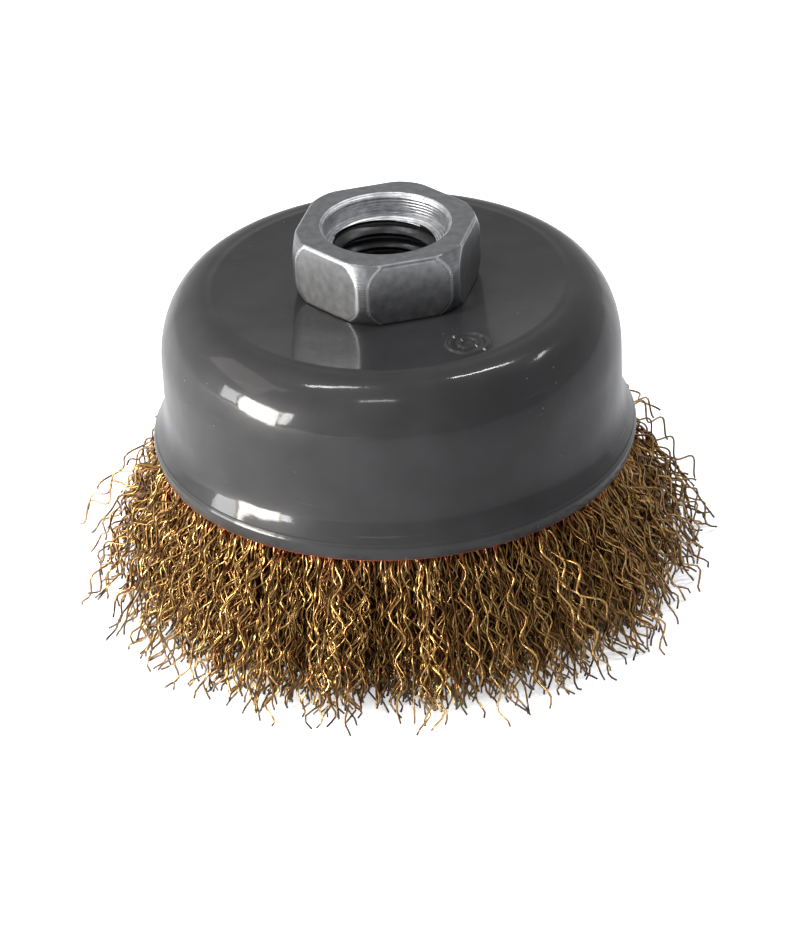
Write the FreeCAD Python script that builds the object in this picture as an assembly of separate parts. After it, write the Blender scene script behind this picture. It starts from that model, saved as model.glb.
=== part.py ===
"""Wire cup brush for a hand grinder, with an M14 spindle nut and a crimped wire fill.

A drawn steel cup and a pressed clamp plate are held together by the swaged collar of
the hexagon nut. The wires are hairpins folded over a flat steel ring inside the cup;
their free legs are crimped, splay out below the rim and are trimmed to a flat face.

Millimetres. z = 0 is the trimmed brush face, +Z runs along the spindle out of the nut,
and the front of the brush faces -Y.
"""
import FreeCAD, Part
import math
import os
import random

# Spindle nut
across_flats = 22.0
hex_height = 8.5
hex_corner_radius = 12.3
upper_corner_width = 0.75
upper_corner_height = 3.0
upper_corner_bands = 2
lower_corner_width = 0.4
lower_corner_height = 1.2
hex_turn = 14.0
thread_minor_radius = 5.92
counterbore_radius = 8.0
counterbore_depth = 2.7
thread_chamfer = 1.1
collar_radius = 9.0
swage_width = 1.6
swage_height = 2.2

# Drawn cup, sizes of its outer side
cup_sheet = 1.2
cup_height = 22.7
cup_wall_radius = 29.8
shoulder_width = 6.0
shoulder_height = 9.4
shoulder_bands = 6
inner_shoulder_bands = 2
skirt_height = 5.2
skirt_flare = 1.8
lip_height = 1.9
lip_tuck = 0.4

# Clamp plate, a small pressed dish under the cup's top
plate_sheet = 1.2
plate_depth = 11.0
plate_set_in = 3.8

# Flat bar ring that the wires are folded over
ring_width = 1.6
ring_depth = 3.0
ring_sides = 32

# Crimped wires: width is measured round the brush, depth out from its axis
free_wire_length = 19.5
strand_width = 1.9
strand_depth = 1.3
crimp_pitch = 6.4
inner_crimp_pitch = 7.8
crimp_height = 0.95
strand_gap = 0.15
outer_splay = 12.0
splay_step = 2.0
splay_curve = 0.8
splay_scatter = 0.05
crimp_scatter = 0.15
tip_scatter = 1.6
seed = 11

# Seating and wire clearances
seat_clearance = 0.1
wire_clearance = 0.4

# Heights that follow from the sizes above
rim_z = free_wire_length
cup_top_z = rim_z + cup_height
nut_top_z = cup_top_z + hex_height
plate_top_z = cup_top_z - cup_sheet
swage_top_z = plate_top_z - plate_sheet
nut_bottom_z = swage_top_z - swage_height
fold_z = plate_top_z - seat_clearance - strand_depth / 2
ring_top_z = fold_z - strand_depth / 2 - seat_clearance

# Radii that follow: the fold lies under the flat part of the cup's top, the plate backs the legs
hole_radius = collar_radius + seat_clearance
lip_radius = cup_wall_radius + skirt_flare - lip_tuck
fold_outer_radius = cup_wall_radius - shoulder_width - strand_depth / 2
ring_outer_radius = fold_outer_radius - strand_depth / 2 - seat_clearance
ring_inner_radius = ring_outer_radius - ring_width
fold_inner_radius = ring_inner_radius - 2 * wire_clearance - strand_depth / 2
plate_wall_radius = ring_inner_radius - plate_set_in
crease_row_radius = cup_wall_radius - cup_sheet - wire_clearance - strand_depth / 2

# Rows of legs at the rim, from the cup's edge in to the plate's wall
first_row_radius = lip_radius - cup_sheet - wire_clearance - strand_depth / 2
last_row_radius = plate_wall_radius + wire_clearance + strand_depth / 2
row_spacing = (first_row_radius - last_row_radius) / 3
fold_circle = 2 * math.pi * (fold_inner_radius - strand_depth / 2)
quarter_count = int(fold_circle / 8 / (strand_width + strand_gap))

UP = FreeCAD.Vector(0, 0, 1)
CENTRE = FreeCAD.Vector(0, 0, 0)


def at(radius, z):
    """A point of a turned or drawn section, in the XZ plane."""
    return FreeCAD.Vector(radius, 0, z)


def turned(points):
    """A solid turned about the axis from a closed section (radius, z)."""
    section = Part.Face(Part.makePolygon([at(*point) for point in points + points[:1]]))
    return section.revolve(CENTRE, UP, 360)


def polygon_prism(radius, sides, bottom_z, height):
    """An upright prism on a regular polygon whose corners lie at radius."""
    corners = []
    for index in range(sides + 1):
        angle = 2 * math.pi * index / sides
        corners.append(FreeCAD.Vector(radius * math.cos(angle), radius * math.sin(angle), bottom_z))
    return Part.Face(Part.makePolygon(corners)).extrude(UP * height)


def quarter_ellipse(outer_radius, top_z, width, height, bands, inset=0):
    """Points of a convex turned corner, from its top edge round and down to its outer radius."""
    points = []
    for index in range(bands + 1):
        angle = math.radians(90 * (1 - index / bands))
        radius = outer_radius - width + (width - inset) * math.cos(angle)
        z = top_z - height + (height - inset) * math.sin(angle)
        points.append((radius, z))
    return points


def shoulder(inset, bands):
    """The cup's round shoulder, set in from the outer side."""
    return quarter_ellipse(cup_wall_radius, cup_top_z, shoulder_width, shoulder_height, bands, inset)


def cup_shell():
    """The drawn cup: flat top with a centre hole, round shoulder, straight wall and flared skirt."""
    crease_z = rim_z + skirt_height
    outside = [(hole_radius, cup_top_z)] + shoulder(0, shoulder_bands) + [
        (cup_wall_radius, crease_z),
        (cup_wall_radius + skirt_flare, rim_z + lip_height),
        (lip_radius, rim_z),
    ]
    inside = [(hole_radius, plate_top_z)] + shoulder(cup_sheet, inner_shoulder_bands) + [
        (cup_wall_radius - cup_sheet, crease_z),
        (lip_radius - cup_sheet, rim_z),
    ]
    return turned(outside + inside[::-1])


def clamp_plate():
    """The pressed dish whose wall backs the wires from inside."""
    bottom_z = plate_top_z - plate_depth
    return turned([
        (hole_radius, plate_top_z),
        (plate_wall_radius, plate_top_z),
        (plate_wall_radius, bottom_z),
        (plate_wall_radius - plate_sheet, bottom_z),
        (plate_wall_radius - plate_sheet, swage_top_z),
        (hole_radius, swage_top_z),
    ])


def spindle_nut():
    """Hexagon nut with rounded turned-off corners, and a collar swaged under the clamp plate."""
    upper_corner = quarter_ellipse(hex_corner_radius, nut_top_z, upper_corner_width,
                                   upper_corner_height, upper_corner_bands)
    blank = turned([(0, nut_top_z)] + upper_corner + [
        (hex_corner_radius, cup_top_z + lower_corner_height),
        (hex_corner_radius - lower_corner_width, cup_top_z),
        (0, cup_top_z),
    ])
    hexagon = polygon_prism(across_flats / math.sqrt(3), 6, cup_top_z, hex_height)
    hexagon.rotate(CENTRE, UP, hex_turn)
    collar = turned([
        (0, cup_top_z),
        (collar_radius, cup_top_z),
        (collar_radius, swage_top_z),
        (collar_radius + swage_width, swage_top_z),
        (collar_radius + swage_width, nut_bottom_z),
        (0, nut_bottom_z),
    ])
    seat_z = nut_top_z - counterbore_depth
    bore = turned([
        (0, nut_top_z),
        (counterbore_radius, nut_top_z),
        (counterbore_radius, seat_z),
        (thread_minor_radius + thread_chamfer, seat_z),
        (thread_minor_radius, seat_z - thread_chamfer),
        (thread_minor_radius, nut_bottom_z),
        (0, nut_bottom_z),
    ])
    return blank.common(hexagon).fuse(collar).cut(bore).removeSplitter()


def holding_ring():
    """The flat bar ring inside the cup that the wires are folded over, bent in short straight runs."""
    bottom_z = ring_top_z - ring_depth
    outer = polygon_prism(ring_outer_radius, ring_sides, bottom_z, ring_depth)
    return outer.cut(polygon_prism(ring_inner_radius, ring_sides, bottom_z, ring_depth))


def crimped_leg(row, pitch, side, scatter):
    """Points (radius, sideways, z) of one free leg, from its tip up to the rim."""
    rim_radius = first_row_radius - row * row_spacing
    splay = (outer_splay - row * splay_step) * (1 + scatter.uniform(-splay_scatter, splay_scatter))
    tip_z = scatter.uniform(-tip_scatter, tip_scatter)
    height = crimp_height * (1 + scatter.uniform(-crimp_scatter, crimp_scatter))
    half_waves = round(2 * rim_z / pitch)
    points = []
    for step in range(half_waves):
        drop = 1 - step / half_waves
        radius = rim_radius + splay * drop ** splay_curve
        points.append((radius, side * height, rim_z - drop * (rim_z - tip_z)))
        side = -side
    points.append((rim_radius, 0, rim_z))
    return points


def hairpin(outer_row, angle, scatter):
    """One wire folded over the ring: its legs lie in a row and in the next but one further in."""
    route = crimped_leg(outer_row, crimp_pitch, scatter.choice((-1, 1)), scatter)
    if outer_row == 0:
        route.append((crease_row_radius, 0, rim_z + skirt_height + strand_depth))
    route += [(fold_outer_radius, 0, fold_z), (fold_inner_radius, 0, fold_z)]
    route += reversed(crimped_leg(outer_row + 2, inner_crimp_pitch, 1, scatter))
    path = Part.makePolygon([FreeCAD.Vector(*point) for point in route])
    tip, second = [vertex.Point for vertex in path.Vertexes[:2]]
    along = (second - tip).normalize()
    outwards = FreeCAD.Vector(0, 1, 0).cross(along).normalize()
    sideways = along.cross(outwards)
    corners = [
        tip + outwards * strand_depth / 2,
        tip - outwards * strand_depth / 2 + sideways * strand_width / 2,
        tip - outwards * strand_depth / 2 - sideways * strand_width / 2,
    ]
    section = Part.makePolygon(corners + corners[:1])
    strand = path.makePipeShell([section], True, False, 1)
    strand.rotate(CENTRE, UP, angle)
    return strand


def wire_fill(outer_row, turn, scatter):
    """A quarter of a ring of hairpins, trimmed at the brush face and patterned four times."""
    reach = 2 * cup_wall_radius
    below_face = Part.makeBox(2 * reach, 2 * reach, reach, FreeCAD.Vector(-reach, -reach, -reach))
    wires = []
    for index in range(quarter_count):
        strand = hairpin(outer_row, (index + turn) * 90 / quarter_count, scatter).cut(below_face)
        for quarter in range(4):
            copy = strand.copy()
            copy.rotate(CENTRE, UP, 90 * quarter)
            wires += copy.Solids
    return Part.makeCompound(wires)


def main():
    parts = {
        "cup_shell": cup_shell(),
        "spindle_nut": spindle_nut(),
        "clamp_plate": clamp_plate(),
        "holding_ring": holding_ring(),
        "outer_wires": wire_fill(0, 0, random.Random(seed)),
        "inner_wires": wire_fill(1, 0.5, random.Random(seed + 1)),
    }
    os.makedirs("parts", exist_ok=True)
    for name, shape in parts.items():
        shape.exportStep(f"parts/{name}.step")
    return parts


if __name__ == "__main__":
    main()
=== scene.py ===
"""Looks of the wire cup brush: enamelled cup, zinc-plated M14 nut and a crimped brass-coated wire fill.

Sizes are in millimetres, as in a workshop drawing, and each finished mesh is scaled to metres.
z = 0 is the trimmed brush face, +Z runs up the spindle and the front of the brush faces -Y.
"""
import bmesh
import bpy
import math
import random
from mathutils import Matrix, Vector


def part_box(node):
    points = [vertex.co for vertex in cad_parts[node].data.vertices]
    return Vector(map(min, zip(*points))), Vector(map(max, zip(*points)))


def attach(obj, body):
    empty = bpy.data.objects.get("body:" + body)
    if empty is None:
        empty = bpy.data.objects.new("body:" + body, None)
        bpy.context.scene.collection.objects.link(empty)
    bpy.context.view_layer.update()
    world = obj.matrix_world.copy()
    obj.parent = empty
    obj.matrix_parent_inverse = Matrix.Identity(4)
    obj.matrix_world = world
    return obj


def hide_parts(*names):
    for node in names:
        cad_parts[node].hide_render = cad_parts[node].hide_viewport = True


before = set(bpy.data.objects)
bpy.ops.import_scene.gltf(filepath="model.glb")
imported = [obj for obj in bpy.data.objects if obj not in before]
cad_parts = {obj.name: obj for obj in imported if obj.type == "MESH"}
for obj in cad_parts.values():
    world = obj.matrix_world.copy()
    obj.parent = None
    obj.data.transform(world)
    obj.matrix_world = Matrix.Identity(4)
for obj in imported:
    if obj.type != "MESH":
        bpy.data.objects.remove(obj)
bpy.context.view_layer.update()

MM = 0.001
BODY = "root"

# Heights and radii of the brush, read from the frame
cup_low, cup_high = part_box("cup_shell")
nut_low, nut_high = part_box("spindle_nut")
rim_z = cup_low.z / MM
cup_top_z = cup_high.z / MM
nut_top_z = nut_high.z / MM
nut_bottom_z = nut_low.z / MM
skirt_radius = cup_high.x / MM

# Drawn cup
cup_sheet = 1.2
shoulder_width = 6.0
shoulder_height = 9.4
skirt_height = 5.2
skirt_flare = 1.8
lip_height = 1.9
lip_tuck = 0.4
cup_wall_radius = skirt_radius - skirt_flare
lip_radius = skirt_radius - lip_tuck
inner_rim_radius = lip_radius - cup_sheet
crease_softness = 2.2
lip_softness = 0.3
primer_edge = 0.12
cup_steps = 160
shoulder_steps = 24
inner_shoulder_steps = 8
cup_crisp_angle = math.radians(35)

# Fine raised lines that the press leaves: one above the lip, one round the cup's top
crease_line_share = 0.84
crease_line_relief = 0.05
crease_line_above = Vector((-0.1, 0.18))
crease_line_below = Vector((0.08, -0.14))
crease_line_softness = (0.02, 0.05, 0.02)
pressing_line_radius = 22.8
pressing_line_width = 0.6
pressing_line_relief = 0.08

# Round press mark on the cup's top: a dot and two rings
mark_x = 9.5
mark_y = -17.0
mark_radius = 2.8
mark_relief = 0.24
mark_dot_radius = 0.35
mark_ring_shares = (0.43, 0.9)
mark_ring_foot = 0.4
mark_ring_crest = 0.12
mark_steps = 40

# Spindle nut
across_flats = 22.0
hex_corner_radius = 12.3
hex_turn = math.radians(14)
upper_corner_width = 0.83
upper_corner_height = 3.2
upper_edge_round = 0.45
lower_corner_width = 0.75
lower_corner_height = 2.4
lower_edge_round = 0.25
corner_bands = 12
corner_fullness = 1.8
corner_sharpness = 150
edge_shelf = 0.2
# Painted highlight on the hexagon's rounded edges: its width, and its strength along the top edge
edge_highlight_width = 0.09
top_edge_highlight = 0.5
counterbore_radius = 8.0
counterbore_depth = 2.7
bore_break = 0.45
seat_z = nut_top_z - counterbore_depth
nut_gap = 0.02
collar_radius = 9.0
collar_clearance = 0.1
swage_width = 1.6
swage_height = 2.2
nut_steps = 360
nut_crisp_angle = math.radians(28)
flat_alignment = 0.999
flat_tolerance = 0.02

# M14 x 2 thread
thread_pitch = 2.0
thread_minor_radius = 5.92
thread_major_radius = 7.0
thread_chamfer = 1.1
thread_run_out = 0.3
cone_margin = 0.25
cone_tolerance = 0.06
flank_points = 8
crest_share = 0.12
flank_share = 0.7

# Wires: 0.3 mm steel, brass coated, crimped in waves and folded over the holding ring
wire_radius = 0.155
crimp_pitch = 5.0
crimp_pitch_spread = (0.85, 1.2)
crimp_height = 0.8
crimp_height_spread = (0.75, 1.3)
bend_pitch = 14.0
bend_height = 0.5
bend_spread = (-1.2, 1.2)
fold_z = 40.1
fold_outer_radius = 23.2
fold_inner_radius = 19.6
fold_scatter = 0.5
wall_clearance = 2.0
wall_point_rise = 7.0
lip_clearance = 0.4
lip_margin = 0.1
plate_wall_radius = 17.0
swing_scatter = 0.025

# Free legs: the splay grows with the radius at the rim, and a few wires splay much further
tuft_count = 72
inner_splay = 2.9
inner_splay_radius = 18.0
splay_growth = 0.42
least_splay_share = 0.6
splay_tail = 1.15
splay_tail_power = 2.8
splay_curve = 0.85
tuft_splay_share = 0.15
tuft_curve = 1.3
tuft_pull = (0.1, 0.9)
trim_height = 0.2
trim_scatter = 0.9
lean_scatter = 0.8
lift_scatter = 0.5
lean_curve = 1.5
twist_scatter = 1.2
crimp_at_rim = 0.3
crimp_growth = 3
reach_limit = 43.2
fewest_spans = 4

# Strays, single wires that stand out from the fill
stray_share = 0.09
stray_rim_radius = 29.0
stray_splay = (9.0, 13.5)
stray_tip_height = (1.5, 11.0)
stray_lean = 2.2
stray_smoothness = 1.8

# Rows at the rim as (outer leg, inner leg), points a crimp wave of each, and hairpins a sector
outer_rows = ((26.6, inner_rim_radius - 0.25), (20.4, 23.6))
outer_points = (6.4, 2.6)
outer_count = 740
outer_seed = 21
inner_rows = ((23.4, 27.2), (plate_wall_radius + 0.5, 20.6))
inner_points = (4.8, 3.0)
inner_count = 820
inner_seed = 51

# Camera, fitted to the view of the photograph
camera_place = Vector((0, -469.6, 299.6)) * MM
camera_target = Vector((0.4, 0, 14.9)) * MM
camera_roll = -0.047
focal_pixels = 4170.9
picture_height = 926
sensor = 36.0


def linear(code):
    """An sRGB hex colour as linear RGBA."""
    channels = [int(code[i:i + 2], 16) / 255 for i in (1, 3, 5)]
    return [c / 12.92 if c <= 0.04045 else ((c + 0.055) / 1.055) ** 2.4 for c in channels] + [1.0]


def node(material, kind, inputs=None, **settings):
    """Adds a node with its settings; an input is a value or another node's socket."""
    made = material.node_tree.nodes.new(kind)
    for name, value in settings.items():
        setattr(made, name, value)
    for name, value in (inputs or {}).items():
        if isinstance(value, bpy.types.NodeSocket):
            material.node_tree.links.new(value, made.inputs[name])
        else:
            made.inputs[name].default_value = value
    return made


def new_material(name):
    """An empty node material."""
    material = bpy.data.materials.new(name)
    material.use_nodes = True
    material.node_tree.nodes.clear()
    return material


def finish_material(material, surface):
    """Links the surface to the material's output."""
    node(material, "ShaderNodeOutputMaterial", {"Surface": surface})
    return material


def cup_enamel():
    """Stoved grey enamel on drawn steel: glossy, a little wavy, with dust specks and fine rubs."""
    m = new_material("stoved_grey_enamel")
    place = node(m, "ShaderNodeTexCoord").outputs["Object"]
    cloud = node(m, "ShaderNodeTexNoise", {"Vector": place, "Scale": 1 / (6 * MM), "Detail": 4.0})
    grey = node(m, "ShaderNodeMix", {0: cloud.outputs[0], 6: linear("#1e1e1f"), 7: linear("#2d2d2f")},
                data_type="RGBA")
    dust = node(m, "ShaderNodeTexVoronoi", {"Vector": place, "Scale": 1 / (1.9 * MM)})
    speck = node(m, "ShaderNodeMapRange", {"Value": dust.outputs["Distance"],
                                           "From Min": 0.06, "From Max": 0.03})
    patch = node(m, "ShaderNodeTexNoise", {"Vector": place, "Scale": 1 / (9 * MM), "Detail": 2.0})
    dusty = node(m, "ShaderNodeMapRange", {"Value": patch.outputs[0],
                                           "From Min": 0.5, "From Max": 0.62})
    fleck = node(m, "ShaderNodeMath", {0: speck.outputs[0], 1: dusty.outputs[0]}, operation="MULTIPLY")
    flecked = node(m, "ShaderNodeMix", {0: fleck.outputs[0], 6: grey.outputs[2], 7: linear("#6a6a6a")},
                   data_type="RGBA")
    round_wall = node(m, "ShaderNodeMapping", {"Vector": place, "Scale": (0.04, 0.04, 1.0)})
    rubs = node(m, "ShaderNodeTexNoise", {"Vector": round_wall.outputs[0], "Scale": 1 / (0.5 * MM),
                                          "Detail": 3.0})
    rubbed = node(m, "ShaderNodeMapRange", {"Value": rubs.outputs[0],
                                            "From Min": 0.68, "From Max": 0.84})
    worn = node(m, "ShaderNodeMix", {0: rubbed.outputs[0], 6: flecked.outputs[2], 7: linear("#3a3a3b")},
                data_type="RGBA")
    gloss = node(m, "ShaderNodeMapRange", {"Value": patch.outputs[0], "From Min": 0.3, "From Max": 0.7,
                                           "To Min": 0.06, "To Max": 0.14})
    sheet = node(m, "ShaderNodeTexNoise", {"Vector": place, "Scale": 1 / (8 * MM), "Detail": 1.0})
    wavy = node(m, "ShaderNodeBump", {"Height": sheet.outputs[0], "Strength": 1.0,
                                      "Distance": 0.22 * MM})
    peel = node(m, "ShaderNodeTexNoise", {"Vector": place, "Scale": 1 / (1.6 * MM), "Detail": 3.0})
    peeled = node(m, "ShaderNodeBump", {"Height": peel.outputs[0], "Strength": 0.6,
                                        "Distance": 0.03 * MM, "Normal": wavy.outputs[0]})
    raised = node(m, "ShaderNodeBump", {"Height": fleck.outputs[0], "Strength": 0.5,
                                        "Distance": 0.05 * MM, "Normal": peeled.outputs[0]})
    shader = node(m, "ShaderNodeBsdfPrincipled", {
        "Base Color": worn.outputs[2], "Roughness": 0.42, "Specular IOR Level": 0.06,
        "Coat Weight": 0.26, "Coat Roughness": gloss.outputs[0],
        "Normal": raised.outputs[0], "Coat Normal": raised.outputs[0]})
    return finish_material(m, shader.outputs[0])


def primer_inside():
    """Orange-red primer on the inside of the cup and on its cut lower edge: matt, slightly uneven."""
    m = new_material("orange_red_primer")
    place = node(m, "ShaderNodeTexCoord").outputs["Object"]
    cloud = node(m, "ShaderNodeTexNoise", {"Vector": place, "Scale": 1 / (1.5 * MM)})
    red = node(m, "ShaderNodeMix", {0: cloud.outputs[0], 6: linear("#6e2413"), 7: linear("#97381c")},
               data_type="RGBA")
    shader = node(m, "ShaderNodeBsdfPrincipled", {"Base Color": red.outputs[2], "Roughness": 0.6})
    return finish_material(m, shader.outputs[0])


def zinc(name, dark, light, roughness, ring_pitch, ring_depth):
    """Zinc plating on steel: a satin, softly clouded skin over the tool's fine turned rings.

    The attribute edge marks the hexagon's rounded edges, which are painted lighter there: a painted
    highlight for the bright line these edges catch.
    """
    m = new_material(name)
    place = node(m, "ShaderNodeTexCoord").outputs["Object"]
    cloud = node(m, "ShaderNodeTexNoise", {"Vector": place, "Scale": 1 / (1.1 * MM), "Detail": 4.0})
    stained = node(m, "ShaderNodeMapRange", {"Value": cloud.outputs[0],
                                             "From Min": 0.3, "From Max": 0.7})
    grey = node(m, "ShaderNodeMix", {0: stained.outputs[0], 6: linear(dark), 7: linear(light)},
                data_type="RGBA")
    edge = node(m, "ShaderNodeAttribute", attribute_name="edge").outputs["Fac"]
    # Painted highlight: the marked edges are mixed towards a light grey.
    edge_highlighted = node(m, "ShaderNodeMix", {0: edge, 6: grey.outputs[2], 7: linear("#a2a3a5")},
                     data_type="RGBA")
    satin = node(m, "ShaderNodeMapRange", {"Value": edge, "To Min": roughness, "To Max": 0.4})
    split = node(m, "ShaderNodeSeparateXYZ", {"Vector": place})
    flat = node(m, "ShaderNodeCombineXYZ", {"X": split.outputs["X"], "Y": split.outputs["Y"]})
    radius = node(m, "ShaderNodeVectorMath", {0: flat.outputs[0]}, operation="LENGTH")
    along = node(m, "ShaderNodeMath", {0: radius.outputs["Value"], 1: split.outputs["Z"]},
                 operation="ADD")
    turns = node(m, "ShaderNodeMath", {0: along.outputs[0], 1: 2 * math.pi / (ring_pitch * MM)},
                 operation="MULTIPLY")
    rings = node(m, "ShaderNodeMath", {0: turns.outputs[0]}, operation="SINE")
    turned = node(m, "ShaderNodeBump", {"Height": rings.outputs[0], "Strength": 0.5,
                                        "Distance": ring_depth * MM})
    dents = node(m, "ShaderNodeTexNoise", {"Vector": place, "Scale": 1 / (0.6 * MM), "Detail": 3.0})
    dented = node(m, "ShaderNodeBump", {"Height": dents.outputs[0], "Strength": 0.25,
                                        "Distance": 0.02 * MM, "Normal": turned.outputs[0]})
    shader = node(m, "ShaderNodeBsdfPrincipled", {
        "Base Color": edge_highlighted.outputs[2], "Metallic": 1.0, "Roughness": satin.outputs[0],
        "Normal": dented.outputs[0]})
    return finish_material(m, shader.outputs[0])


def oiled_bore():
    """Cut steel thread that the plating hardly reached: dark, with a film of oil."""
    m = new_material("oiled_cut_thread")
    place = node(m, "ShaderNodeTexCoord").outputs["Object"]
    cloud = node(m, "ShaderNodeTexNoise", {"Vector": place, "Scale": 1 / (0.8 * MM), "Detail": 3.0})
    dark = node(m, "ShaderNodeMix", {0: cloud.outputs[0], 6: linear("#1c1c1d"), 7: linear("#3a3a3b")},
                data_type="RGBA")
    shader = node(m, "ShaderNodeBsdfPrincipled", {
        "Base Color": dark.outputs[2], "Metallic": 1.0, "Roughness": 0.36})
    return finish_material(m, shader.outputs[0])


def bare_steel():
    """Cold-rolled steel strip as it leaves the press: grey, with a faint rolling grain."""
    m = new_material("cold_rolled_steel")
    place = node(m, "ShaderNodeTexCoord").outputs["Object"]
    rolled = node(m, "ShaderNodeMapping", {"Vector": place, "Scale": (0.1, 1.0, 1.0)})
    streaks = node(m, "ShaderNodeTexNoise", {"Vector": rolled.outputs[0], "Scale": 1 / (0.6 * MM),
                                             "Detail": 3.0})
    grey = node(m, "ShaderNodeMix", {0: streaks.outputs[0], 6: linear("#55534f"), 7: linear("#8b8a86")},
                data_type="RGBA")
    bump = node(m, "ShaderNodeBump", {"Height": streaks.outputs[0], "Strength": 0.2,
                                      "Distance": 0.02 * MM})
    shader = node(m, "ShaderNodeBsdfPrincipled", {
        "Base Color": grey.outputs[2], "Metallic": 1.0, "Roughness": 0.42, "Normal": bump.outputs[0]})
    return finish_material(m, shader.outputs[0])


def brass_wire():
    """Steel wire with a thin brass coat: warm gold with brown stains, dark at the tips, partly cut
    steel and partly painted shade, and a painted red-brown shade near the rim.
    """
    m = new_material("brass_coated_steel_wire")
    shade = node(m, "ShaderNodeAttribute", attribute_name="shade").outputs["Fac"]
    reach = node(m, "ShaderNodeAttribute", attribute_name="reach").outputs["Fac"]
    place = node(m, "ShaderNodeTexCoord").outputs["Object"]
    coat = node(m, "ShaderNodeMix", {0: shade, 6: linear("#4c310f"), 7: linear("#a5834c")},
                data_type="RGBA")
    stain = node(m, "ShaderNodeTexNoise", {"Vector": place, "Scale": 1 / (1.8 * MM), "Detail": 2.0})
    stained = node(m, "ShaderNodeMapRange", {"Value": stain.outputs[0],
                                             "From Min": 0.48, "From Max": 0.66})
    brown = node(m, "ShaderNodeMix", {0: stained.outputs[0], 6: coat.outputs[2], 7: linear("#5c381a")},
                 data_type="RGBA")
    # Painted shade: near the rim, and in the fold over the ring, each wire is mixed towards dark
    # red-brown. This is a painted shade with a painted reddish reflection of the primer.
    painted_rim_shade = node(m, "ShaderNodeMapRange", {"Value": reach, "From Min": 0.0, "From Max": 0.14,
                                              "To Min": 0.7, "To Max": 0.0})
    rim_shaded = node(m, "ShaderNodeMix", {0: painted_rim_shade.outputs[0], 6: brown.outputs[2],
                                        7: linear("#6b2d14")}, data_type="RGBA")
    # Dark tips: the last tenth of each wire darkens to grey, partly the cut steel and partly painted
    # shade at the wire ends.
    late = node(m, "ShaderNodeMath", {0: shade, 1: 0.06}, operation="MULTIPLY")
    tip_reach = node(m, "ShaderNodeMath", {0: reach, 1: late.outputs[0]}, operation="SUBTRACT")
    cut = node(m, "ShaderNodeMapRange", {"Value": tip_reach.outputs[0],
                                         "From Min": 0.9, "From Max": 0.97})
    tips_cut_and_shaded = node(m, "ShaderNodeMix", {0: cut.outputs[0], 6: rim_shaded.outputs[2], 7: linear("#34322f")},
                  data_type="RGBA")
    shader = node(m, "ShaderNodeBsdfPrincipled", {
        "Base Color": tips_cut_and_shaded.outputs[2], "Metallic": 1.0, "Roughness": 0.28, "Coat Weight": 0.2,
        "Coat Roughness": 0.22})
    return finish_material(m, shader.outputs[0])


def pale_floor():
    """A white table under soft light, white to the camera and in reflections, with a soft shadow."""
    m = new_material("white_table")
    path = node(m, "ShaderNodeLightPath").outputs
    seen = node(m, "ShaderNodeMath", {0: path["Is Camera Ray"], 1: path["Is Glossy Ray"]},
                operation="MAXIMUM")
    seen = node(m, "ShaderNodeMath", {0: seen.outputs[0], 1: path["Is Transmission Ray"]},
                operation="MAXIMUM")
    matt = node(m, "ShaderNodeBsdfDiffuse", {"Color": linear("#f6f7fb")})
    glow = node(m, "ShaderNodeMath", {0: seen.outputs[0], 1: 0.5}, operation="MULTIPLY")
    white = node(m, "ShaderNodeEmission", {"Color": (1, 1, 1, 1), "Strength": glow.outputs[0]})
    both = node(m, "ShaderNodeAddShader", {0: matt.outputs[0], 1: white.outputs[0]})
    return finish_material(m, both.outputs[0])


def add_piece(name, mesh, slot, *replaced):
    """A finished piece in the CAD frame, that rides on the brush and stands for its nodes."""
    piece = bpy.data.objects.new(name, mesh)
    bpy.context.scene.collection.objects.link(piece)
    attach(piece, BODY)
    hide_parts(*replaced)
    return piece


def smooth_by_angle(bm, limit):
    """Smooth faces, with edges sharper than the limit kept crisp."""
    for face in bm.faces:
        face.smooth = True
    for edge in bm.edges:
        edge.smooth = edge.calc_face_angle(0.0) < limit


def mesh_from(bm, name, materials):
    """Closes a millimetre bmesh into a mesh in metres with its materials."""
    bmesh.ops.transform(bm, matrix=Matrix.Scale(MM, 4), verts=bm.verts)
    mesh = bpy.data.meshes.new(name)
    bm.to_mesh(mesh)
    bm.free()
    for material in materials:
        mesh.materials.append(material)
    return mesh


def turn(bm, points, steps, centre=(0, 0, 0)):
    """Turns an open section of (radius, z) points about an upright line through centre."""
    others = set(bm.verts)
    place = Vector(centre)
    verts = [bm.verts.new(place + Vector((radius, 0, z))) for radius, z in points]
    edges = [bm.edges.new(pair) for pair in zip(verts, verts[1:])]
    bmesh.ops.spin(bm, geom=verts + edges, cent=centre, axis=(0, 0, 1), angle=2 * math.pi,
                   steps=steps, use_merge=True, use_duplicate=False)
    bmesh.ops.remove_doubles(bm, verts=[v for v in bm.verts if v not in others], dist=1e-4)


def arc(centre_r, centre_z, width, height, start, end, steps):
    """Points of an elliptical arc between two angles in degrees."""
    points = []
    for index in range(steps + 1):
        angle = math.radians(start + (end - start) * index / steps)
        points.append((centre_r + width * math.cos(angle), centre_z + height * math.sin(angle)))
    return points


def softened(points, softness, steps=5):
    """The same line with its inner corners rounded, each by its own softness."""
    rounded = [points[0]]
    for before, corner, after, soft in zip(points, points[1:], points[2:], softness):
        corner = Vector(corner)
        back = Vector(before) - corner
        on = Vector(after) - corner
        start = corner + back.normalized() * min(soft, back.length / 2)
        end = corner + on.normalized() * min(soft, on.length / 2)
        for index in range(steps + 1):
            t = index / steps
            rounded.append(tuple(start * (1 - t) ** 2 + corner * 2 * t * (1 - t) + end * t ** 2))
    return rounded + [points[-1]]


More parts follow.
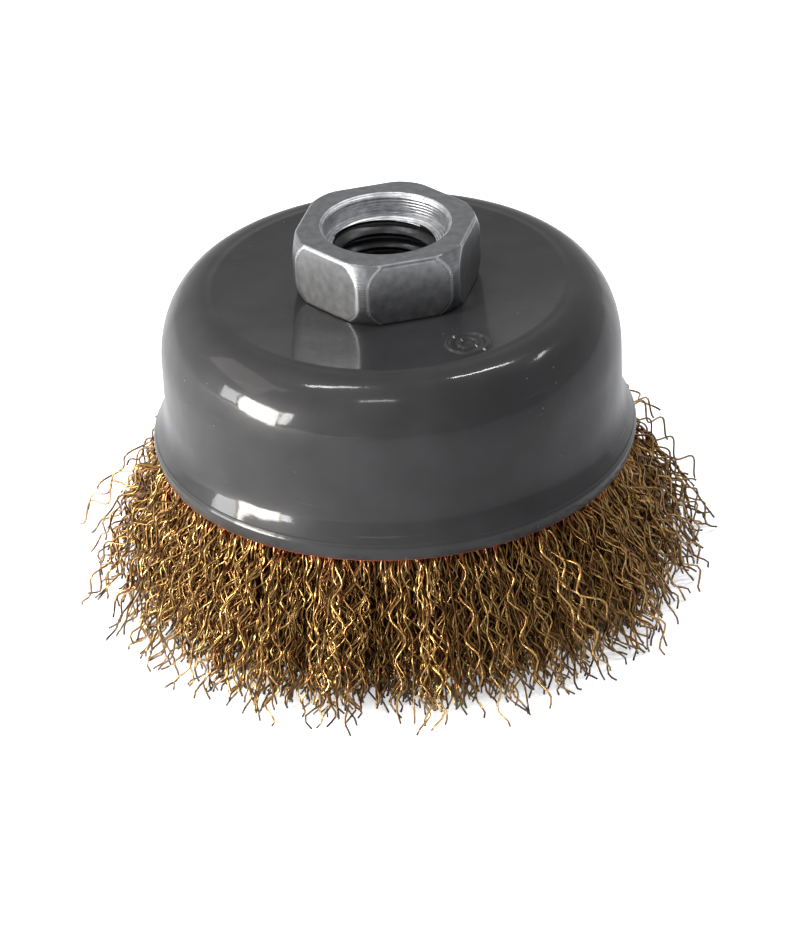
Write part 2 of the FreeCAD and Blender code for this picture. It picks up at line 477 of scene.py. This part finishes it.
def press_mark(bm):
    """A dot and two low rings, pressed up on the cup's top."""
    foot = 0.01
    sunk = -cup_sheet / 4
    section = [(0, mark_relief), (mark_dot_radius, 0.6 * mark_relief)]
    for share in mark_ring_shares:
        radius = share * mark_radius
        section += [
            (radius - mark_ring_foot, foot),
            (radius - mark_ring_crest, mark_relief),
            (radius + mark_ring_crest, mark_relief),
            (radius + mark_ring_foot, foot),
        ]
    section += [(mark_radius + 0.1, sunk), (0, sunk)]
    turn(bm, section, mark_steps, (mark_x, mark_y, cup_top_z))


def cup_section():
    """The closed section (radius, z) of the drawn sheet, from the centre hole out, down and back."""
    crease_z = rim_z + skirt_height
    hole = collar_radius + collar_clearance
    shoulder_r = cup_wall_radius - shoulder_width
    shoulder_z = cup_top_z - shoulder_height
    line = Vector((cup_wall_radius + crease_line_share * skirt_flare,
                   crease_z - crease_line_share * (skirt_height - lip_height)))
    outside = softened([
        (cup_wall_radius, shoulder_z),
        (cup_wall_radius, crease_z),
        line + crease_line_above,
        line + Vector((crease_line_relief, 0)),
        line + crease_line_below,
        (skirt_radius, rim_z + lip_height),
        (lip_radius, rim_z),
        (inner_rim_radius, rim_z),
    ], (crease_softness, *crease_line_softness, lip_softness, lip_softness))
    inside = softened([
        (inner_rim_radius, rim_z),
        (cup_wall_radius - cup_sheet, crease_z),
        (cup_wall_radius - cup_sheet, shoulder_z),
    ], [crease_softness])
    section = [
        (hole, cup_top_z),
        (pressing_line_radius - pressing_line_width / 2, cup_top_z),
        (pressing_line_radius, cup_top_z + pressing_line_relief),
        (pressing_line_radius + pressing_line_width / 2, cup_top_z),
    ]
    section += arc(shoulder_r, shoulder_z, shoulder_width, shoulder_height, 90, 0, shoulder_steps)
    section += outside[1:] + inside[1:-1]
    section += arc(shoulder_r, shoulder_z, shoulder_width - cup_sheet, shoulder_height - cup_sheet,
                   0, 90, inner_shoulder_steps)
    return section + [(hole, cup_top_z - cup_sheet), section[0]]


def build_cup():
    """The drawn cup as one turned sheet, enamelled outside and primed inside."""
    bm = bmesh.new()
    turn(bm, cup_section(), cup_steps)
    press_mark(bm)
    bmesh.ops.recalc_face_normals(bm, faces=bm.faces)
    for face in bm.faces:
        centre = face.calc_center_median()
        outwards = face.normal.dot(Vector((centre.x, centre.y, 0)).normalized())
        inner = face.normal.z < -0.5 or (outwards < -0.1 and face.normal.z < 0.5)
        face.material_index = 1 if inner or centre.z < rim_z + primer_edge else 0
    smooth_by_angle(bm, cup_crisp_angle)
    mesh = mesh_from(bm, "drawn_cup", [cup_enamel(), primer_inside()])
    return add_piece("drawn_cup", mesh, "cup_enamel", "cup_shell")


def on_a_flat(face):
    """Whether a face lies in one of the hexagon's flats."""
    centre = face.calc_center_median()
    for side in range(6):
        angle = hex_turn + math.radians(30 + 60 * side)
        out = Vector((math.cos(angle), math.sin(angle), 0))
        off_plane = abs(centre.dot(out) - across_flats / 2)
        if face.normal.dot(out) > flat_alignment and off_plane < flat_tolerance:
            return True
    return False


def flat_radius(angle, half_flat):
    """How far out the hexagon's flats lie at an angle."""
    off_centre = (angle - hex_turn) % math.radians(60) - math.radians(30)
    return half_flat / math.cos(off_centre)


def hexagon_corner(z_end, direction, width, height, edge_round):
    """Levels (radius, z, half flat) of one turned end of the hexagon, from the end inwards."""
    levels = []
    for index in range(corner_bands + 1):
        depth = height * (index / corner_bands) ** 1.5
        inside = max(0, edge_round - depth)
        half_flat = across_flats / 2 - edge_round + math.sqrt(edge_round ** 2 - inside ** 2)
        radius = hex_corner_radius - width * (1 - depth / height) ** corner_fullness
        levels.append((radius, z_end - direction * depth, half_flat))
    return levels


def rounded_edge(turned_radius, flat):
    """The smaller of a turned radius and a flat's, with a slightly rounded edge where they meet."""
    sharp = corner_sharpness
    return (turned_radius ** -sharp + flat ** -sharp) ** (-1 / sharp)


def drawn_out(bm, loop, levels):
    """Draws a loop of edges out through levels (radius, z) or (radius, z, half flat)."""
    edge_highlight_mark = bm.verts.layers.float["edge"]
    for radius, z, *half_flat in levels:
        made = bmesh.ops.extrude_edge_only(bm, edges=loop)["geom"]
        verts = {v for v in made if isinstance(v, bmesh.types.BMVert)}
        for vert in verts:
            angle = math.atan2(vert.co.y, vert.co.x)
            wanted = radius
            if half_flat:
                flat = flat_radius(angle, half_flat[0])
                wanted = rounded_edge(radius, flat)
                # The edge mark paints a highlight on the hexagon's rounded edges: full where a flat
                # meets a turned corner, half along the top edge.
                if nut_top_z - z < edge_shelf:
                    vert[edge_highlight_mark] = top_edge_highlight if flat < radius and z < nut_top_z else 0
                else:
                    vert[edge_highlight_mark] = max(0, 1 - abs(radius - flat) / edge_highlight_width)
            vert.co = (wanted * math.cos(angle), wanted * math.sin(angle), z)
        loop = [e for e in made if isinstance(e, bmesh.types.BMEdge) and verts.issuperset(e.verts)]
    return loop


def loop_at(bm, z):
    """The open edges of the thread's cut end at a height."""
    return [e for e in bm.edges if e.is_boundary and all(abs(v.co.z - z) < 1e-3 for v in e.verts)]


def build_thread(bm, top_z, bottom_z):
    """Sweeps the thread's flank section up a helix, and turns the lead-in cone into its crests."""
    section = []
    for part in range(flank_points):
        ramp = 1 - abs(2 * part / flank_points - 1)
        deep = min(max((ramp - crest_share) / flank_share, 0), 1)
        section.append((thread_minor_radius + (thread_major_radius - thread_minor_radius) * deep,
                        bottom_z - thread_pitch + thread_pitch * part / flank_points))
    section.append((section[0][0], section[0][1] + thread_pitch))
    verts = [bm.verts.new((radius, 0, z)) for radius, z in section]
    edges = [bm.edges.new(pair) for pair in zip(verts, verts[1:])]
    turns = math.ceil((top_z - bottom_z) / thread_pitch) + 1
    bmesh.ops.spin(bm, geom=verts + edges, cent=(0, 0, 0), axis=(0, 0, 1), angle=2 * math.pi * turns,
                   dvec=(0, 0, thread_pitch / nut_steps), steps=nut_steps * turns, use_merge=False)
    bmesh.ops.remove_doubles(bm, verts=bm.verts, dist=1e-3)
    for height, keep_below in ((top_z, True), (bottom_z, False)):
        bmesh.ops.bisect_plane(bm, geom=bm.verts[:] + bm.edges[:] + bm.faces[:], dist=1e-5,
                               plane_co=(0, 0, height), plane_no=(0, 0, 1),
                               clear_outer=keep_below, clear_inner=not keep_below)
    for vert in bm.verts:
        radius = math.hypot(vert.co.x, vert.co.y)
        wanted = thread_minor_radius + thread_chamfer - (top_z - vert.co.z)
        if wanted > radius:
            vert.co.x *= wanted / radius
            vert.co.y *= wanted / radius


def build_nut():
    """Hexagon nut with turned corners, counterbore, real thread and swaged collar."""
    foot_z = cup_top_z + nut_gap
    swage_top_z = nut_bottom_z + swage_height
    bm = bmesh.new()
    bm.verts.layers.float.new("edge")
    build_thread(bm, seat_z, nut_bottom_z)
    upper = hexagon_corner(nut_top_z, 1, upper_corner_width, upper_corner_height, upper_edge_round)
    lower = hexagon_corner(foot_z, -1, lower_corner_width, lower_corner_height, lower_edge_round)
    top_radius, top_z, top_flat = upper[0]
    outer_end = drawn_out(bm, loop_at(bm, seat_z), [
        (counterbore_radius, seat_z),
        (counterbore_radius, nut_top_z - bore_break),
        (counterbore_radius + bore_break, nut_top_z),
        (top_radius - edge_shelf, top_z, top_flat - edge_shelf),
    ] + upper + lower[::-1] + [
        (collar_radius, foot_z),
        (collar_radius, swage_top_z),
        (collar_radius + swage_width, swage_top_z),
        (collar_radius + swage_width, nut_bottom_z),
        (thread_major_radius + thread_run_out, nut_bottom_z),
    ])
    inner_end = [e for e in loop_at(bm, nut_bottom_z) if e not in outer_end]
    bmesh.ops.bridge_loops(bm, edges=outer_end + inner_end)
    bmesh.ops.recalc_face_normals(bm, faces=bm.faces)
    smooth_by_angle(bm, nut_crisp_angle)
    for face in bm.faces:
        centre = face.calc_center_median()
        radius = math.hypot(centre.x, centre.y)
        if on_a_flat(face):
            face.material_index = 1
        elif radius < counterbore_radius + bore_break:
            cone_radius = thread_minor_radius + thread_chamfer - (seat_z - centre.z)
            past_crests = radius > thread_minor_radius + cone_margin
            on_cone = past_crests and abs(radius - cone_radius) < cone_tolerance
            face.material_index = 2 if on_cone or centre.z > seat_z - 0.01 else 3
    mesh = mesh_from(bm, "hexagon_nut", [
        zinc("zinc_on_turned_steel", "#58595b", "#6c6d6f", 0.36, 0.34, 0.012),
        zinc("zinc_on_drawn_steel", "#6c6d6f", "#838486", 0.33, 0.34, 0.0),
        zinc("freshly_bored_steel", "#85868a", "#b2b3b5", 0.36, 0.42, 0.05),
        oiled_bore(),
    ])
    return add_piece("hexagon_nut", mesh, "zinc_plated_nut", "spindle_nut")


def leg(rim_radius, angle, tufts, scatter, points_per_wave, stray):
    """Points of a free leg from the rim to its trimmed tip, as (place, share of its length)."""
    tuft_step = 2 * math.pi / tuft_count
    tuft = round(angle / tuft_step)
    pull, push = tufts[tuft % tuft_count]
    splay = inner_splay + splay_growth * (rim_radius - inner_splay_radius)
    splay *= (least_splay_share + splay_tail * scatter.random() ** splay_tail_power
              + tuft_splay_share * push)
    tip_z = abs(scatter.gauss(0, trim_scatter)) + trim_height
    lean = scatter.gauss(0, lean_scatter)
    if stray:
        splay = scatter.uniform(*stray_splay)
        points_per_wave *= stray_smoothness
        tip_z += scatter.uniform(*stray_tip_height)
        lean = scatter.gauss(0, stray_lean)
    pitch = crimp_pitch * scatter.uniform(*crimp_pitch_spread)
    height = crimp_height * scatter.uniform(*crimp_height_spread)
    bend = bend_height * scatter.uniform(*bend_spread)
    plane = scatter.uniform(0, math.pi)
    twist = scatter.gauss(0, twist_scatter)
    phase = scatter.uniform(0, 2 * math.pi)
    lift = scatter.gauss(0, lift_scatter)
    drop = rim_z - tip_z
    length = math.hypot(splay, drop)
    count = max(fewest_spans, round(length / pitch * points_per_wave))
    out = Vector((math.cos(angle), math.sin(angle), 0))
    side = Vector((-out.y, out.x, 0))
    away = Vector((out.x * drop, out.y * drop, splay)).normalized()
    gather = (tuft * tuft_step - angle) * rim_radius * pull
    points = []
    for index in range(count + 1):
        reach = index / count
        run = 2 * math.pi * length * reach
        wave = height * math.sin(run / pitch + phase) * min(1, crimp_at_rim + crimp_growth * reach)
        wander = bend * math.sin(run / bend_pitch + 2 * phase) * reach
        turned = plane + twist * reach
        leaning = reach ** lean_curve
        sideways = wave * math.cos(turned) + wander + lean * leaning + gather * reach ** tuft_curve
        outwards = wave * math.sin(turned) + lift * leaning
        radius = rim_radius + splay * reach ** splay_curve
        point = out * radius + Vector((0, 0, rim_z - reach * drop))
        point += side * sideways + away * outwards
        points.append((held_clear(point), reach))
    return points


def held_clear(point):
    """A wire's point, kept within the fill's reach, above the table and below the cup's lip."""
    radius = math.hypot(point.x, point.y)
    share = min(1, reach_limit / radius)
    under_lip = radius > inner_rim_radius - lip_margin
    highest = rim_z - lip_clearance if under_lip else rim_z
    return Vector((point.x * share, point.y * share, min(max(point.z, trim_height), highest)))


def hairpin(rows, points_per_wave, angle, tufts, scatter):
    """One wire: its outer leg, the fold over the ring and its inner leg."""
    outer_rim = scatter.uniform(*rows[0])
    inner_rim = scatter.uniform(*rows[1])
    stray = outer_rim > stray_rim_radius and scatter.random() < stray_share
    swing = scatter.gauss(0, swing_scatter)
    outer = leg(outer_rim, angle, tufts, scatter, points_per_wave[0], stray)
    inner = leg(inner_rim, angle + swing, tufts, scatter, points_per_wave[1], False)
    folded_z = fold_z - scatter.uniform(0, fold_scatter)
    route = (
        (min(outer_rim, cup_wall_radius - wall_clearance), rim_z + wall_point_rise, 0.0),
        (fold_outer_radius, folded_z, 0.3),
        (fold_inner_radius, folded_z, 0.7),
    )
    fold = []
    for radius, z, turn_share in route:
        along = angle + swing * turn_share
        fold.append((Vector((radius * math.cos(along), radius * math.sin(along), z)), 0.0))
    return outer[::-1] + fold + inner


def wire_section(name):
    """A small triangle, the section that each wire is drawn with; its faces come out outwards."""
    section = bpy.data.curves.new(name, "CURVE")
    section.dimensions = "3D"
    corners = section.splines.new("POLY")
    corners.points.add(2)
    for index, point in enumerate(corners.points):
        angle = -2 * math.pi * index / 3
        point.co = (*(Vector((math.cos(angle), math.sin(angle), 0)) * wire_radius * MM), 1)
    corners.use_cyclic_u = True
    return bpy.data.objects.new(name, section)


def curve_as_mesh(curve):
    """The mesh of a curve with its section swept along."""
    carrier = bpy.data.objects.new(curve.name, curve)
    bpy.context.scene.collection.objects.link(carrier)
    bpy.context.view_layer.update()
    mesh = bpy.data.meshes.new_from_object(carrier.evaluated_get(bpy.context.evaluated_depsgraph_get()))
    bpy.data.objects.remove(carrier)
    return mesh


def build_wires(name, count, rows, points_per_wave, seed, start, end, material, node_name):
    """A sector of the wire fill as one mesh of thin three-sided wires.

    The swept mesh has the wires' end caps first, last wire first, and then three corners for
    each point of each wire, so the attributes shade and reach are listed in that order.
    """
    scatter = random.Random(seed)
    tufts = [(scatter.uniform(*tuft_pull), scatter.uniform(-1, 1)) for tuft in range(tuft_count)]
    section = wire_section(name + "_section")
    curve = bpy.data.curves.new(name + "_curve", "CURVE")
    curve.dimensions = "3D"
    curve.bevel_mode = "OBJECT"
    curve.bevel_object = section
    curve.use_fill_caps = True
    shades, reaches = [], []
    cap_shades, cap_reaches = [], []
    for index in range(count):
        angle = start + (end - start) * (index + scatter.random()) / count
        wire = hairpin(rows, points_per_wave, angle, tufts, scatter)
        spline = curve.splines.new("POLY")
        spline.points.add(len(wire) - 1)
        spline.points.foreach_set("co", [c for point, reach in wire for c in (*(point * MM), 1.0)])
        shade = scatter.random()
        shades += [shade] * (3 * len(wire))
        reaches += [reach for point, reach in wire for corner in range(3)]
        cap_shades += [shade] * 6
        cap_reaches += [1.0] * 6
    mesh = curve_as_mesh(curve)
    bpy.data.objects.remove(section)
    for attribute, values in (("shade", cap_shades[::-1] + shades), ("reach", cap_reaches + reaches)):
        layer = mesh.attributes.new(attribute, "FLOAT", "POINT")
        layer.data.foreach_set("value", values)
    bm = bmesh.new()
    bm.from_mesh(mesh)
    bmesh.ops.remove_doubles(bm, verts=bm.verts, dist=1e-7)
    bm.to_mesh(mesh)
    bm.free()
    mesh.name = name
    mesh.materials.clear()
    mesh.materials.append(material)
    mesh.shade_smooth()
    return add_piece(name, mesh, "brass_coated_wire", node_name)


def build_fill():
    """The whole wire fill, in three outer and two inner sectors."""
    material = brass_wire()
    third = 2 * math.pi / 3
    for part in range(3):
        build_wires(f"outer_wires_{part + 1}", outer_count, outer_rows, outer_points, outer_seed + part,
                    third * part, third * (part + 1), material, "outer_wires")
    for part in range(2):
        build_wires(f"inner_wires_{part + 1}", inner_count, inner_rows, inner_points, inner_seed + part,
                    math.pi * part, math.pi * (part + 1), material, "inner_wires")


def aimed(place, target, roll=0.0):
    """A matrix at place whose -Z looks at the target, turned by roll about its view."""
    forward = (target - place).normalized()
    right = forward.cross(Vector((0, 0, 1))).normalized()
    up = right.cross(forward)
    rolled_right = right * math.cos(roll) + up * math.sin(roll)
    rolled_up = up * math.cos(roll) - right * math.sin(roll)
    matrix = Matrix((rolled_right, rolled_up, -forward)).transposed().to_4x4()
    return Matrix.Translation(place) @ matrix


def add_lamp(name, azimuth, elevation, distance, size, radiance, colour="#ffffff"):
    """A soft rectangular lamp that looks at the brush; its azimuth turns from the front to the right.

    Angles are in degrees, distance and size in metres, and radiance is how bright its face looks.
    """
    light = bpy.data.lights.new(name, "AREA")
    light.shape = "RECTANGLE"
    light.size, light.size_y = size
    light.energy = radiance * math.pi * size[0] * size[1]
    light.color = linear(colour)[:3]
    around, high = math.radians(azimuth), math.radians(elevation)
    level = math.cos(high)
    away = Vector((math.sin(around) * level, -math.cos(around) * level, math.sin(high)))
    target = Vector((0, 0, rim_z * MM))
    lamp = bpy.data.objects.new(name, light)
    lamp.matrix_world = aimed(target + away * distance, target)
    bpy.context.scene.collection.objects.link(lamp)


def build_floor():
    """The table that the brush stands on."""
    bm = bmesh.new()
    bmesh.ops.create_grid(bm, x_segments=1, y_segments=1, size=3.0)
    mesh = bpy.data.meshes.new("floor")
    bm.to_mesh(mesh)
    bm.free()
    mesh.materials.append(pale_floor())
    floor = bpy.data.objects.new("floor", mesh)
    bpy.context.scene.collection.objects.link(floor)


def build_world():
    """A weak soft light all round, which is plain white to the camera and in reflections."""
    world = bpy.data.worlds.new("studio")
    world.use_nodes = True
    world.node_tree.nodes.clear()
    path = node(world, "ShaderNodeLightPath").outputs
    seen = node(world, "ShaderNodeMath", {0: path["Is Camera Ray"], 1: path["Is Glossy Ray"]},
                operation="MAXIMUM")
    seen = node(world, "ShaderNodeMath", {0: seen.outputs[0], 1: path["Is Transmission Ray"]},
                operation="MAXIMUM")
    soft = node(world, "ShaderNodeBackground", {"Color": linear("#dfe3ea"), "Strength": 0.12})
    white = node(world, "ShaderNodeBackground", {"Color": (1, 1, 1, 1), "Strength": 1.0})
    mixed = node(world, "ShaderNodeMixShader", {0: seen.outputs[0], 1: soft.outputs[0],
                                                2: white.outputs[0]})
    node(world, "ShaderNodeOutputWorld", {"Surface": mixed.outputs[0]})
    bpy.context.scene.world = world


def build_lamps():
    """Windows low on the left, strip lamps above, and a small lamp on the right."""
    add_lamp("window_left", -84, 8, 0.7, (0.15, 0.18), 30)
    add_lamp("window_middle", -66, 6.5, 0.7, (0.25, 0.2), 84, "#fffaf2")
    add_lamp("window_right", -52.5, 8, 0.7, (0.05, 0.17), 60)
    add_lamp("high_left", -92, 36, 0.9, (0.6, 0.4), 3.2, "#fffaf2")
    add_lamp("tube_left", -76, 72, 0.9, (0.045, 0.3), 80)
    add_lamp("tube_front", -9, 53, 0.9, (0.2, 0.025), 60)
    add_lamp("tube_right", 114, 67, 0.9, (0.045, 0.24), 85)
    add_lamp("lamp_right", 104, 43, 0.9, (0.15, 0.06), 42)


def build_camera():
    """The camera, placed as it stood for the photograph."""
    lens = bpy.data.cameras.new("view")
    lens.sensor_fit = "AUTO"
    lens.sensor_width = sensor
    lens.lens = focal_pixels * sensor / picture_height
    lens.clip_start = 0.01
    camera = bpy.data.objects.new("view", lens)
    camera.matrix_world = aimed(camera_place, camera_target, camera_roll)
    bpy.context.scene.collection.objects.link(camera)
    bpy.context.scene.camera = camera
    bpy.context.scene.view_settings.view_transform = "Standard"


def finish_hidden_steel():
    """Gives the clamp plate and the holding ring, shown as the CAD made them, their steel."""
    steel = bare_steel()
    for name in ("clamp_plate", "holding_ring"):
        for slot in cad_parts[name].material_slots:
            slot.material = steel


build_cup()
build_nut()
finish_hidden_steel()
build_fill()
build_floor()
build_world()
build_lamps()
build_camera()
